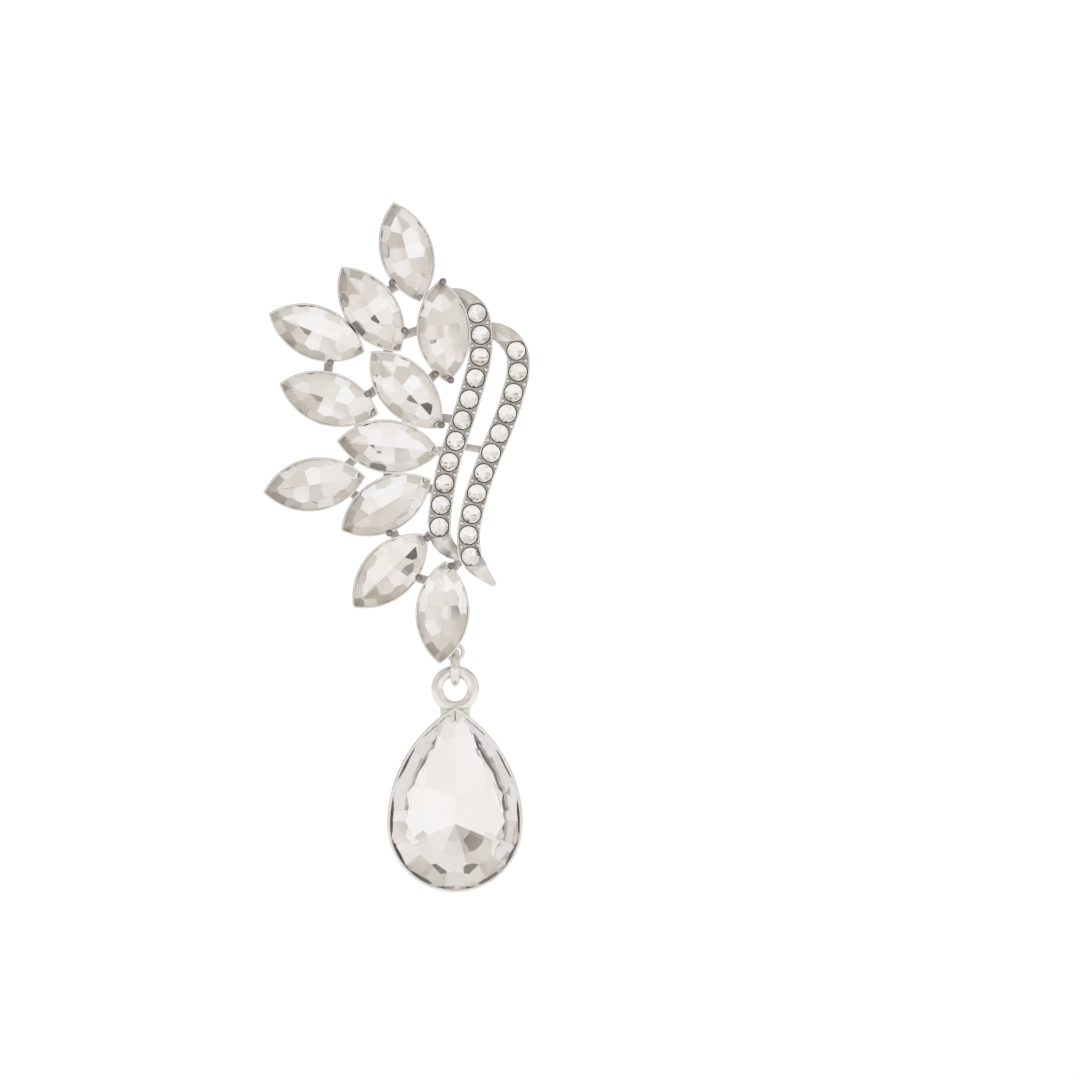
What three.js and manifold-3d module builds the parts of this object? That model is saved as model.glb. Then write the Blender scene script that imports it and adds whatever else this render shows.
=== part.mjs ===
// A drop earring for a pierced ear, as one of a pair: a wing of eleven navette stones in cups, two
// curved bars set with small round stones, and a pear-shaped stone that hangs from a jump ring.
// Lengths are in millimetres. The pieces are drawn lying on their backs: X runs across the earring,
// Y up along it, and Z is the rise from the flat back of the wing towards the viewer. The group
// stands them up at the end. The origin is where the ear post leaves the back.
import * as THREE from "three";
import { mergeVertices } from "three/addons/utils/BufferGeometryUtils.js";
import Module from "manifold-3d";

// Navette stones, pointed at both ends
const navetteLength = 10;
const navetteWidth = 5;
const navetteCrown = 1.1;
const navetteGirdle = 0.25;
const navettePavilion = 1.7;

// Small round stones of the two bars
const roundDiameter = 1.8;
const roundCrown = 0.42;
const roundGirdle = 0.12;
const roundPavilion = 0.75;
const roundSpacing = 0.3;

// Pear-shaped stone of the drop
const pearLength = 18;
const pearWidth = 13;
const pearCrown = 2.2;
const pearGirdle = 0.4;
const pearPavilion = 3.1;

// How far across each table reaches, as a share of its stone
const tableShare = 0.56;

// Cups, rims and the gap that every stone keeps to its seat
const seatGap = 0.05;
const cupWall = 0.2;
const pearCupWall = 0.3;
const rimLip = 0.1;
const cupBand = 0.7;
const floorThickness = 0.45;
const cupTaper = 0.5;
const pearCupTaper = 0.36;
const pearFloorThickness = 0.35;

// Bars, webs between the cups, claws, and the pin between the bars with where it stands on each, as
// a share of the bar's line
const barWidth = 2.3;
const barThickness = 1.9;
const barBeadDiameter = 0.56;
const webWidth = 0.9;
const webThickness = 0.6;
const clawDiameter = 0.8;
const pinWidth = 0.7;
const pinOnInnerBar = 0.62;
const pinOnOuterBar = 0.49;

// Hanging parts: the eye behind the lowest navette, with where its stem starts as a share of half
// the stone's length, the jump ring, and the ring of the drop
const eyeWire = 0.4;
const eyeGap = 0.15;
const eyeStemAlong = -0.2;
const jumpWire = 0.9;
const linkGap = 0.1;
const linkSlack = 0.28;
const dropRingHole = 2.4;
const dropRingBand = 1.2;
const dropRingThickness = 0.9;
const hangerRise = 0.25;
const hangerAside = 1.05;
const hangerAboveTip = 0.96;
const dropRingEdge = 0.45;
const dropNeckWidth = 3.2;
const dropNeckThickness = 0.45;
const pearBelowRing = 2.05;
const pearGirdleRise = 0.86;

// Ear post
const postDiameter = 0.8;
const postLength = 11;
const postPadDiameter = 3;
const postPadThickness = 0.4;

// Sides of the round shapes
const roundSides = 10;
const ringSides = 16;
const wireSides = 6;
const arcSteps = 6;
const barSteps = 15;
const tailSteps = 5;
const beadSides = 6;
const beadRows = 3;
const clawSides = 8;
const clawRows = 4;
const mergeDistance = 1e-4;

// The wing is laid out in shares of this size, so its stones keep apart when one grows.
const navetteSlimness = 2;
const wingSize = Math.max(navetteLength, navetteSlimness * navetteWidth);

// Where each navette's centre lies from the ear post, as shares of the wing size, and how its long
// axis leans, in degrees from across towards up.
const navettes = [
  { name: "navette_01", across: -0.367, up: 0.79, lean: 105 },
  { name: "navette_02", across: -0.725, up: 0.22, lean: 125 },
  { name: "navette_03", across: -1.265, up: -0.015, lean: 158 },
  { name: "navette_04", across: 0, up: 0, lean: 94 },
  { name: "navette_05", across: -0.375, up: -0.585, lean: 132 },
  { name: "navette_06", across: -1.145, up: -0.675, lean: 163 },
  { name: "navette_07", across: -0.55, up: -1.15, lean: 174 },
  { name: "navette_08", across: -1.29, up: -1.53, lean: 9 },
  { name: "navette_09", across: -0.575, up: -1.735, lean: 30 },
  { name: "navette_10", across: -0.535, up: -2.395, lean: 45 },
  { name: "navette_11", across: -0.01, up: -2.81, lean: 87 },
];

// Centre lines of the two bars, from the first round stone to the last, as shares of the wing size
const bars = [
  {
    name: "inner_bar",
    line: [
      { across: 0.335, up: 0.185 },
      { across: 0.378, up: -0.125 },
      { across: 0.318, up: -0.46 },
      { across: 0.19, up: -0.885 },
      { across: 0.06, up: -1.289 },
      { across: -0.02, up: -1.685 },
      { across: -0.042, up: -1.955 },
    ],
  },
  {
    name: "outer_bar",
    line: [
      { across: 0.728, up: -0.191 },
      { across: 0.745, up: -0.405 },
      { across: 0.635, up: -0.825 },
      { across: 0.465, up: -1.245 },
      { across: 0.32, up: -1.665 },
      { across: 0.25, up: -2.035 },
      { across: 0.272, up: -2.25 },
    ],
  },
];

// Plain metal tails that run on from the bars' ends, from a bar to the tip, as shares of the wing
// size, with each tip's width as a share of the bar's
const tails = [
  {
    tipWidth: 0.35,
    line: [
      { across: 0.335, up: 0.185 },
      { across: 0.27, up: 0.31 },
      { across: 0.18, up: 0.385 },
      { across: 0.085, up: 0.43 },
    ],
  },
  {
    tipWidth: 0.45,
    line: [
      { across: 0.728, up: -0.191 },
      { across: 0.66, up: -0.07 },
      { across: 0.54, up: 0.0 },
      { across: 0.41, up: 0.05 },
    ],
  },
  {
    tipWidth: 0.2,
    line: [
      { across: 0.272, up: -2.25 },
      { across: 0.34, up: -2.36 },
      { across: 0.43, up: -2.46 },
      { across: 0.515, up: -2.54 },
    ],
  },
  {
    tipWidth: 0.4,
    line: [
      { across: -0.042, up: -1.955 },
      { across: -0.015, up: -2.09 },
      { across: 0.07, up: -2.19 },
      { across: 0.2, up: -2.26 },
    ],
  },
];

// Cast webs that join the cups and bars behind the stones. Along counts from a navette's centre
// towards its leaning tip, as a share of half its length, or down a bar, as a share of its line.
const webs = [
  { from: "navette_01", fromAlong: -0.5, to: "navette_02", toAlong: 0.2 },
  { from: "navette_01", fromAlong: -0.7, to: "navette_04", toAlong: 0.5 },
  { from: "navette_02", fromAlong: 0, to: "navette_03", toAlong: 0 },
  { from: "navette_02", fromAlong: -0.7, to: "navette_04", toAlong: 0.2 },
  { from: "navette_02", fromAlong: -0.5, to: "navette_05", toAlong: 0.5 },
  { from: "navette_03", fromAlong: -0.3, to: "navette_06", toAlong: 0.1 },
  { from: "navette_04", fromAlong: -0.6, to: "navette_05", toAlong: -0.2 },
  { from: "navette_04", fromAlong: 0, to: "inner_bar", toAlong: 0.08 },
  { from: "navette_05", fromAlong: 0.4, to: "navette_06", toAlong: -0.5 },
  { from: "navette_05", fromAlong: -0.3, to: "navette_07", toAlong: -0.1 },
  { from: "navette_05", fromAlong: -0.7, to: "inner_bar", toAlong: 0.5 },
  { from: "navette_06", fromAlong: -0.3, to: "navette_07", toAlong: 0.3 },
  { from: "navette_07", fromAlong: 0.4, to: "navette_08", toAlong: 0.3 },
  { from: "navette_07", fromAlong: 0, to: "navette_09", toAlong: 0 },
  { from: "navette_07", fromAlong: -0.6, to: "inner_bar", toAlong: 0.65 },
  { from: "navette_08", fromAlong: 0.5, to: "navette_09", toAlong: -0.3 },
  { from: "navette_09", fromAlong: 0.6, to: "inner_bar", toAlong: 0.82 },
  { from: "navette_09", fromAlong: -0.1, to: "navette_10", toAlong: 0.4 },
  { from: "navette_10", fromAlong: 0.6, to: "inner_bar", toAlong: 1 },
  { from: "navette_10", fromAlong: 0, to: "navette_11", toAlong: 0.55 },
  { from: "navette_11", fromAlong: 0.7, to: "outer_bar", toAlong: 0.97 },
];

// Claws at the navettes' edges, most of them in the corners between two cups. The side is 1 to the
// left of the leaning tip and -1 to its right.
const claws = [
  { on: "navette_01", side: 1, along: -0.44 },
  { on: "navette_02", side: -1, along: -0.66 },
  { on: "navette_03", side: 1, along: -0.41 },
  { on: "navette_04", side: 1, along: -0.78 },
  { on: "navette_04", side: -1, along: 0.97 },
  { on: "navette_04", side: -1, along: -0.95 },
  { on: "navette_05", side: -1, along: -0.97 },
  { on: "navette_06", side: -1, along: -0.64 },
  { on: "navette_09", side: -1, along: -0.19 },
  { on: "navette_10", side: -1, along: 0.97 },
  { on: "navette_10", side: -1, along: 0.27 },
  { on: "navette_11", side: -1, along: 0.9 },
];

// Facets, by the way in which each faces seen from the front. A navette's are shares of its side's
// arc from the middle towards a tip, and a pear's are degrees from across towards up.
const navetteCrownShares = [-0.75, -0.25, 0.25, 0.75];
const navettePavilionShares = [-0.6, 0, 0.6];
const pearCrownFacings = [-90, -58, -28, 2, 28, 48];
const pearPavilionFacings = [-72, -36, 0, 30, 52];

// Heights of the stones' girdles above the wing's back
const navetteGirdleRise = floorThickness + seatGap + navettePavilion;
const roundGirdleRise = barThickness - roundGirdle;

const wasm = await Module();
wasm.setup();

// Closed geometry as a solid that can be joined and cut
function solidOf(geometry) {
  const bare = geometry.clone();
  bare.deleteAttribute("normal");
  bare.deleteAttribute("uv");
  const merged = mergeVertices(bare, mergeDistance);
  const made = new wasm.Mesh({
    numProp: 3,
    vertProperties: merged.attributes.position.array,
    triVerts: new Uint32Array(merged.index.array),
  });
  return new wasm.Manifold(made);
}

function geometryOf(solid) {
  const { vertProperties, triVerts } = solid.getMesh();
  const geometry = new THREE.BufferGeometry();
  geometry.setAttribute("position", new THREE.BufferAttribute(vertProperties, 3));
  geometry.setIndex(new THREE.BufferAttribute(triVerts, 1));
  const flat = geometry.toNonIndexed();
  flat.computeVertexNormals();
  return flat;
}

function joined(geometries) {
  return geometries.map(solidOf).reduce((whole, part) => whole.add(part));
}

function extruded(shape, depth, rise) {
  const geometry = new THREE.ExtrudeGeometry(shape, {
    depth,
    bevelEnabled: false,
    curveSegments: arcSteps,
  });
  return geometry.translate(0, 0, rise);
}

function sharesToPoint({ across, up }) {
  return new THREE.Vector2(across * wingSize, up * wingSize);
}

// A navette's outline is two equal arcs that meet at its tips. Support gives the edge point that
// faces a direction.
function navetteOutline(length, width) {
  const radius = (length ** 2 + width ** 2) / (4 * width);
  const inset = radius - width / 2;
  const halfArc = Math.asin(length / 2 / radius);
  const top = Math.PI / 2;
  const shape = new THREE.Shape();
  shape.absarc(0, -inset, radius, top - halfArc, top + halfArc, false);
  shape.absarc(0, inset, radius, -top - halfArc, -top + halfArc, false);
  const support = (facing) => {
    const side = Math.sign(Math.sin(facing));
    return new THREE.Vector2(
      radius * Math.cos(facing),
      radius * Math.sin(facing) - side * inset,
    );
  };
  const facings = (shares) =>
    [top, -top].flatMap((middle) => shares.map((share) => middle + share * halfArc));
  return { shape, support, facings };
}

// A pear's outline is a half circle round the origin with two flatter arcs that meet above it.
function pearOutline(length, width) {
  const radius = width / 2;
  const height = length - radius;
  const flankRadius = (radius ** 2 + height ** 2) / width;
  const flankInset = flankRadius - radius;
  const tipFacing = Math.asin(height / flankRadius);
  const shape = new THREE.Shape();
  shape.absarc(0, 0, radius, Math.PI, 2 * Math.PI, false);
  shape.absarc(-flankInset, 0, flankRadius, 0, tipFacing, false);
  shape.absarc(flankInset, 0, flankRadius, Math.PI - tipFacing, Math.PI, false);
  const support = (facing) => {
    const rising = Math.sin(facing) > 0;
    const side = Math.sign(Math.cos(facing));
    const reach = rising ? flankRadius : radius;
    return new THREE.Vector2(
      reach * Math.cos(facing) - (rising ? side * flankInset : 0),
      reach * Math.sin(facing),
    );
  };
  const facings = (degrees) =>
    degrees.flatMap((degree) => {
      const right = THREE.MathUtils.degToRad(degree);
      return degree === -90 ? [right] : [right, Math.PI - right];
    });
  return { shape, support, facings };
}

// Cuts a solid by one flat facet. The facet touches the outline's edge at the level given and slopes
// to an apex over the middle: above it on a crown, and below it on a pavilion or a cup.
function facetCut(solid, outline, facing, level, apexHeight) {
  const edge = outline.support(facing);
  const outward = new THREE.Vector2(Math.cos(facing), Math.sin(facing));
  const reach = edge.dot(outward);
  const normal = new THREE.Vector3(outward.x, outward.y, reach / apexHeight);
  const offset = (reach * (1 + level / apexHeight)) / normal.length();
  const inward = normal.clone().normalize().negate();
  return solid.trimByPlane(inward.toArray(), -offset);
}

// A cut stone: its girdle starts at level zero. A crown of zero leaves a straight-sided plug.
function cutStone(outline, { crown, girdle, pavilion, crownFacings, pavilionFacings }) {
  const block = extruded(outline.shape, crown + girdle + pavilion, -pavilion);
  let stone = solidOf(block);
  const crownApex = crown / (1 - tableShare);
  for (const facing of crown > 0 ? crownFacings : []) {
    stone = facetCut(stone, outline, facing, girdle, crownApex);
  }
  for (const facing of pavilionFacings) {
    stone = facetCut(stone, outline, facing, 0, -pavilion);
  }
  return stone;
}

function navetteStone() {
  const outline = navetteOutline(navetteLength, navetteWidth);
  return cutStone(outline, {
    crown: navetteCrown,
    girdle: navetteGirdle,
    pavilion: navettePavilion,
    crownFacings: outline.facings(navetteCrownShares),
    pavilionFacings: outline.facings(navettePavilionShares),
  });
}

function pearStone() {
  const outline = pearOutline(pearLength, pearWidth);
  return cutStone(outline, {
    crown: pearCrown,
    girdle: pearGirdle,
    pavilion: pearPavilion,
    crownFacings: outline.facings(pearCrownFacings),
    pavilionFacings: outline.facings(pearPavilionFacings),
  });
}

// The room that a stone takes in its metal: the stone grown by the seat gap, open to the front
function stonePocket(outline, facingShares, girdle, pavilion, opening) {
  return cutStone(outline, {
    crown: 0,
    girdle: girdle + opening,
    pavilion: pavilion + seatGap,
    crownFacings: [],
    pavilionFacings: outline.facings(facingShares),
  });
}

// A cup tapers from a straight band round the girdle to a smaller flat back.
function cup(outline, facingShares, { girdle, depth, taper }) {
  const bandTop = girdle + rimLip;
  const bandBottom = bandTop - cupBand;
  let body = solidOf(extruded(outline.shape, bandTop + depth, -depth));
  const apex = -(depth + bandBottom) / (1 - taper);
  for (const facing of outline.facings(facingShares)) {
    body = facetCut(body, outline, facing, bandBottom, apex);
  }
  return body;
}

function roundProfile(radius, top, pavilion) {
  return [
    new THREE.Vector2(0, -pavilion),
    new THREE.Vector2(radius, 0),
    new THREE.Vector2(radius, top),
  ];
}

// A small round stone with a table and a ring of crown facets; its girdle starts at level zero.
function roundStoneGeometry() {
  const profile = roundProfile(roundDiameter / 2, roundGirdle, roundPavilion);
  const tableRise = roundGirdle + roundCrown;
  profile.push(new THREE.Vector2((roundDiameter / 2) * tableShare, tableRise));
  profile.push(new THREE.Vector2(0, tableRise));
  return new THREE.LatheGeometry(profile, roundSides).rotateX(Math.PI / 2);
}

function roundPocketGeometry() {
  const opening = roundGirdle + roundCrown;
  const profile = roundProfile(roundDiameter / 2 + seatGap, opening, roundPavilion + seatGap);
  profile.push(new THREE.Vector2(0, opening));
  return new THREE.LatheGeometry(profile, roundSides).rotateX(Math.PI / 2);
}

function barCurve({ line }) {
  return new THREE.SplineCurve(line.map(sharesToPoint));
}

// Round stones sit evenly along a bar, as many as fit.
function barSeats(bar) {
  const curve = barCurve(bar);
  const pitch = roundDiameter + roundSpacing;
  const spaces = Math.floor(curve.getLength() / pitch);
  return curve.getSpacedPoints(spaces);
}

// A flat strip along a curve, from one width to another
function strip(curve, startWidth, endWidth, steps) {
  const sides = [[], []];
  for (let i = 0; i <= steps; i += 1) {
    const middle = curve.getPointAt(i / steps);
    const tangent = curve.getTangentAt(i / steps);
    const half = THREE.MathUtils.lerp(startWidth, endWidth, i / steps) / 2;
    const aside = new THREE.Vector2(-tangent.y, tangent.x).multiplyScalar(half);
    sides[0].push(middle.clone().add(aside));
    sides[1].unshift(middle.clone().sub(aside));
  }
  return extruded(new THREE.Shape(sides.flat()), barThickness, 0);
}

function barGeometries() {
  const strips = bars.map((bar) => strip(barCurve(bar), barWidth, barWidth, barSteps));
  const ends = bars.flatMap((bar) => {
    const { line } = bar;
    return [line[0], line[line.length - 1]].map((row) => {
      const { x, y } = sharesToPoint(row);
      return disc(barWidth, barThickness, 0).translate(x, y, 0);
    });
  });
  return [...strips, ...ends];
}

function tailGeometries() {
  return tails.map(({ line, tipWidth }) =>
    strip(barCurve({ line }), barWidth, barWidth * tipWidth, tailSteps),
  );
}

// A round plate, lying flat
function disc(diameter, thickness, rise) {
  const radius = diameter / 2;
  const geometry = new THREE.CylinderGeometry(radius, radius, thickness, roundSides);
  return geometry.rotateX(Math.PI / 2).translate(0, 0, rise + thickness / 2);
}

// A straight flat strip between two points
function plank(from, to, width, thickness, rise) {
  const run = to.clone().sub(from);
  const geometry = new THREE.BoxGeometry(run.length(), width, thickness);
  geometry.translate(run.length() / 2, 0, rise + thickness / 2);
  return geometry.rotateZ(run.angle()).translate(from.x, from.y, 0);
}

function navetteNamed(name) {
  return navettes.find((navette) => navette.name === name);
}

function navetteMatrix({ across, up, lean }) {
  const matrix = new THREE.Matrix4().makeRotationZ(THREE.MathUtils.degToRad(lean));
  const { x, y } = sharesToPoint({ across, up });
  return matrix.setPosition(x, y, navetteGirdleRise);
}

// A point of the wing: along a navette's long axis, or down a bar
function placeOn(name, along) {
  const bar = bars.find((candidate) => candidate.name === name);
  if (bar) return barCurve(bar).getPointAt(along);
  const navette = navetteNamed(name);
  const lean = THREE.MathUtils.degToRad(navette.lean);
  const aside = new THREE.Vector2(Math.cos(lean), Math.sin(lean));
  return sharesToPoint(navette).addScaledVector(aside, (along * navetteLength) / 2);
}

function webGeometries() {
  return webs.map(({ from, fromAlong, to, toAlong }) =>
    plank(placeOn(from, fromAlong), placeOn(to, toAlong), webWidth, webThickness, 0),
  );
}

// A short pin ties the two bars together half way down.
function pinGeometry() {
  const from = placeOn("inner_bar", pinOnInnerBar);
  const to = placeOn("outer_bar", pinOnOuterBar);
  return plank(from, to, pinWidth, barThickness, 0);
}

// A claw is a bead on the rim, beside the stone, that rises a little over it.
function clawGeometry({ on, side, along }) {
  const grip = navetteOutline(navetteLength + 2 * cupWall, navetteWidth + 2 * cupWall);
  const [facing] = grip.facings([-side * along]).filter((angle) => Math.sign(angle) === side);
  const edge = grip.support(facing);
  const bead = new THREE.SphereGeometry(clawDiameter / 2, clawSides, clawRows);
  bead.rotateX(Math.PI / 2).translate(edge.x, edge.y, navetteGirdle + rimLip);
  return bead.applyMatrix4(navetteMatrix(navetteNamed(on)));
}

// Two beads stand across a bar between each pair of round stones.
function barBeadGeometries() {
  const aside = (barWidth - barBeadDiameter) / 2;
  return bars.flatMap((bar) => {
    const curve = barCurve(bar);
    const seats = barSeats(bar);
    return seats.slice(1).flatMap((_, i) => {
      const share = (i + 0.5) / (seats.length - 1);
      const middle = curve.getPointAt(share);
      const tangent = curve.getTangentAt(share);
      return [aside, -aside].map((reach) =>
        new THREE.SphereGeometry(barBeadDiameter / 2, beadSides, beadRows)
          .rotateX(Math.PI / 2)
          .translate(middle.x - tangent.y * reach, middle.y + tangent.x * reach, barThickness),
      );
    });
  });
}

// Sizes of the hanging chain, from the eye down: each link takes the ones that it holds.
const jumpHole = dropRingBand + eyeWire + 2 * linkGap + linkSlack;
const jumpMiddleRadius = (jumpHole + jumpWire) / 2;
const eyeMiddleRadius = (jumpWire + 2 * eyeGap + eyeWire) / 2;
const eyeCentre = hangerEye();
const jumpPivot = eyeCentre.y - eyeMiddleRadius;
const jumpCentre = jumpPivot + eyeWire / 2 + linkGap - jumpHole / 2;
const dropPivot = jumpCentre - jumpMiddleRadius;
const dropRingCentre = dropPivot + jumpWire / 2 + linkGap - dropRingHole / 2;

// The eye stands beside and above the lowest navette's lower tip.
function hangerEye() {
  const tip = placeOn("navette_11", -1);
  return tip.add(new THREE.Vector2(jumpWire / 2 + hangerAside, hangerAboveTip));
}

function eyeGeometries() {
  const ring = new THREE.TorusGeometry(eyeMiddleRadius, eyeWire / 2, wireSides, ringSides);
  ring.translate(eyeCentre.x, eyeCentre.y, hangerRise);
  const root = placeOn("navette_11", eyeStemAlong);
  const outer = root.clone().sub(eyeCentre).setLength(eyeMiddleRadius).add(eyeCentre);
  return [ring, plank(root, outer, webWidth, eyeWire, hangerRise - eyeWire / 2)];
}

function frameSolid() {
  const cupOutline = navetteOutline(navetteLength + 2 * cupWall, navetteWidth + 2 * cupWall);
  const oneCup = geometryOf(
    cup(cupOutline, navettePavilionShares, {
      girdle: navetteGirdle,
      depth: navetteGirdleRise,
      taper: cupTaper,
    }),
  );
  const metal = joined([
    ...navettes.map((navette) => oneCup.clone().applyMatrix4(navetteMatrix(navette))),
    ...webGeometries(),
    ...barGeometries(),
    ...tailGeometries(),
    ...barBeadGeometries(),
    ...claws.map(clawGeometry),
    ...eyeGeometries(),
    pinGeometry(),
  ]);
  const roomOutline = navetteOutline(navetteLength + 2 * seatGap, navetteWidth + 2 * seatGap);
  const onePocket = geometryOf(
    stonePocket(
      roomOutline,
      navettePavilionShares,
      navetteGirdle,
      navettePavilion,
      navetteCrown + clawDiameter,
    ),
  );
  const pockets = navettes.map((navette) => onePocket.clone().applyMatrix4(navetteMatrix(navette)));
  for (const bar of bars) {
    for (const place of barSeats(bar)) {
      pockets.push(roundPocketGeometry().translate(place.x, place.y, roundGirdleRise));
    }
  }
  return metal.subtract(joined(pockets));
}

function jumpRingGeometry() {
  const ring = new THREE.TorusGeometry(jumpMiddleRadius, jumpWire / 2, wireSides, ringSides);
  return ring.rotateY(Math.PI / 2);
}

// The drop's own ring is thinner at its inner and outer edge than in the middle of its band.
function dropRingGeometry() {
  const inner = dropRingHole / 2;
  const outer = inner + dropRingBand;
  const middle = (inner + outer) / 2;
  const profile = [
    new THREE.Vector2(inner, -dropRingEdge / 2),
    new THREE.Vector2(middle, -dropRingThickness / 2),
    new THREE.Vector2(outer, -dropRingEdge / 2),
    new THREE.Vector2(outer, dropRingEdge / 2),
    new THREE.Vector2(middle, dropRingThickness / 2),
    new THREE.Vector2(inner, dropRingEdge / 2),
    new THREE.Vector2(inner, -dropRingEdge / 2),
  ];
  return new THREE.LatheGeometry(profile, ringSides).rotateX(Math.PI / 2);
}

// Where the drop's circle centre lies below its ring's centre
function pearDrop() {
  return pearBelowRing + pearLength - pearWidth / 2;
}

function dropSettingSolid() {
  const cupOutline = pearOutline(pearLength + 2 * pearCupWall, pearWidth + 2 * pearCupWall);
  const girdleLevel = pearGirdleRise - pearGirdle / 2;
  const body = cup(cupOutline, pearPavilionFacings, {
    girdle: pearGirdle,
    depth: pearPavilion + seatGap + pearFloorThickness,
    taper: pearCupTaper,
  });
  const placed = geometryOf(body).translate(0, -pearDrop(), girdleLevel);
  const neck = plank(
    new THREE.Vector2(0, -(dropRingHole + dropRingBand) / 2),
    new THREE.Vector2(0, -pearBelowRing - dropNeckWidth / 2),
    dropNeckWidth,
    dropNeckThickness,
    -dropNeckThickness / 2,
  );
  const roomOutline = pearOutline(pearLength + 2 * seatGap, pearWidth + 2 * seatGap);
  const pocket = stonePocket(
    roomOutline,
    pearPavilionFacings,
    pearGirdle,
    pearPavilion,
    pearCrown + dropRingThickness,
  );
  const placedPocket = geometryOf(pocket).translate(0, -pearDrop(), girdleLevel);
  return joined([dropRingGeometry(), neck, placed]).subtract(solidOf(placedPocket));
}

function postGeometry() {
  const pad = disc(postPadDiameter, postPadThickness, -seatGap - postPadThickness);
  const stem = disc(postDiameter, postLength - seatGap, -postLength);
  return geometryOf(joined([pad, stem]));
}

function metalFinish() {
  return new THREE.MeshStandardMaterial({ color: 0xc9c8c4, metalness: 1, roughness: 0.22 });
}

function crystalFinish() {
  return new THREE.MeshStandardMaterial({ color: 0xe9e6e2, metalness: 0, roughness: 0.05 });
}

function node(name, geometry, material) {
  const mesh = new THREE.Mesh(geometry, material);
  mesh.name = name;
  return mesh;
}

const earring = new THREE.Group();
earring.rotation.x = Math.PI / 2;
earring.add(node("wing_frame", geometryOf(frameSolid()), metalFinish()));
earring.add(node("ear_post", postGeometry(), metalFinish()));

const navetteGeometry = geometryOf(navetteStone());
for (const navette of navettes) {
  const stone = node(navette.name, navetteGeometry, crystalFinish());
  const { x, y } = sharesToPoint(navette);
  stone.position.set(x, y, navetteGirdleRise);
  stone.rotation.z = THREE.MathUtils.degToRad(navette.lean);
  earring.add(stone);
}

const roundGeometry = roundStoneGeometry();
for (const bar of bars) {
  barSeats(bar).forEach((place, i) => {
    const number = String(i + 1).padStart(2, "0");
    const stone = node(`${bar.name}_stone_${number}`, roundGeometry, crystalFinish());
    stone.position.set(place.x, place.y, roundGirdleRise);
    earring.add(stone);
  });
}

const jumpRing = node("jump_ring", jumpRingGeometry(), metalFinish());
jumpRing.position.set(eyeCentre.x, jumpCentre, hangerRise);
earring.add(jumpRing);

const drop = new THREE.Group();
drop.position.set(eyeCentre.x, dropRingCentre, hangerRise);
drop.add(node("drop_setting", geometryOf(dropSettingSolid()), metalFinish()));
const dropStone = node("drop_stone", geometryOf(pearStone()), crystalFinish());
dropStone.position.set(0, -pearDrop(), pearGirdleRise - pearGirdle / 2);
drop.add(dropStone);
earring.add(drop);

export default earring;
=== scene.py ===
import bpy
import math
import random
from mathutils import Matrix, Vector


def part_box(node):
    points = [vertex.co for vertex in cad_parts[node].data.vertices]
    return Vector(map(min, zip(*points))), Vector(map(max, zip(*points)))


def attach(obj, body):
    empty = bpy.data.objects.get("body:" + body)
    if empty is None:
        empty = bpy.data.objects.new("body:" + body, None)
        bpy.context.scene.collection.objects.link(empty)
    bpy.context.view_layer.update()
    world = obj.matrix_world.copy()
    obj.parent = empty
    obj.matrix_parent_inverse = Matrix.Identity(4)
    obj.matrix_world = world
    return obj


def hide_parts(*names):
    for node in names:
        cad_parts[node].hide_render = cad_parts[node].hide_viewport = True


# A drop earring: a wing of navette crystals in cups beside two bars of small round crystals, with a
# pear-shaped crystal hanging from a jump ring. The pieces are modelled in millimetres, lying on
# their backs (X across, Y up the earring, Z out to the viewer), and then stood up in the frame.

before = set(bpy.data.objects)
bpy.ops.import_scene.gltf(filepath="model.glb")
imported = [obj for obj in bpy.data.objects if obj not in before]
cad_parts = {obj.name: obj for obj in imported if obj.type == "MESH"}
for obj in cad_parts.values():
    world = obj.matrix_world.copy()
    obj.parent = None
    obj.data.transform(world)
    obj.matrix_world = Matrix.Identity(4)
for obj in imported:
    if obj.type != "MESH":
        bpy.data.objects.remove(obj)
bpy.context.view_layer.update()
print("frame loaded")

metalSlot = "rhodium_metal"
crystalSlot = "clear_crystal"


# ---------- small helpers, for lying down, cutting and standing up


def chooseOnly(*objects):
    bpy.ops.object.select_all(action="DESELECT")
    for each in objects:
        each.select_set(True)
    bpy.context.view_layer.objects.active = objects[0]


def namePiece(name):  # the primitive that was just added becomes a piece
    piece = bpy.context.active_object
    piece.name = name
    piece.data.name = name
    chooseOnly(piece)
    bpy.ops.object.transform_apply(location=True, rotation=True, scale=True)
    return piece


def startEdit(piece):
    chooseOnly(piece)
    bpy.ops.object.mode_set(mode="EDIT")
    bpy.ops.mesh.select_all(action="SELECT")


def endEdit():
    bpy.ops.object.mode_set(mode="OBJECT")


def cutOff(place, facing, fill=True):  # in edit mode, takes away what lies beyond a plane
    bpy.ops.mesh.select_all(action="SELECT")
    bpy.ops.mesh.bisect(
        plane_co=place, plane_no=Vector(facing).normalized(), use_fill=fill, clear_outer=True, threshold=1e-5)


def growUp(rise, share=1.0):  # extrudes what is selected and narrows or widens it about the middle
    bpy.ops.mesh.extrude_region_move(TRANSFORM_OT_translate={"value": (0, 0, rise)})
    if share != 1.0:
        bpy.ops.transform.resize(value=(share, share, 1), center_override=(0, 0, 0))


def closeSkin():  # welds the seams and turns every face outwards
    bpy.ops.mesh.select_all(action="SELECT")
    bpy.ops.mesh.remove_doubles(threshold=1e-4)
    bpy.ops.mesh.normals_make_consistent(inside=False)


def softenEdges(piece, width, segments=2, angle=35):
    chooseOnly(piece)
    bevel = piece.modifiers.new("softEdges", "BEVEL")
    bevel.width = width
    bevel.segments = segments
    bevel.limit_method = "ANGLE"
    bevel.angle_limit = math.radians(angle)
    bpy.ops.object.modifier_apply(modifier=bevel.name)


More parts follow.
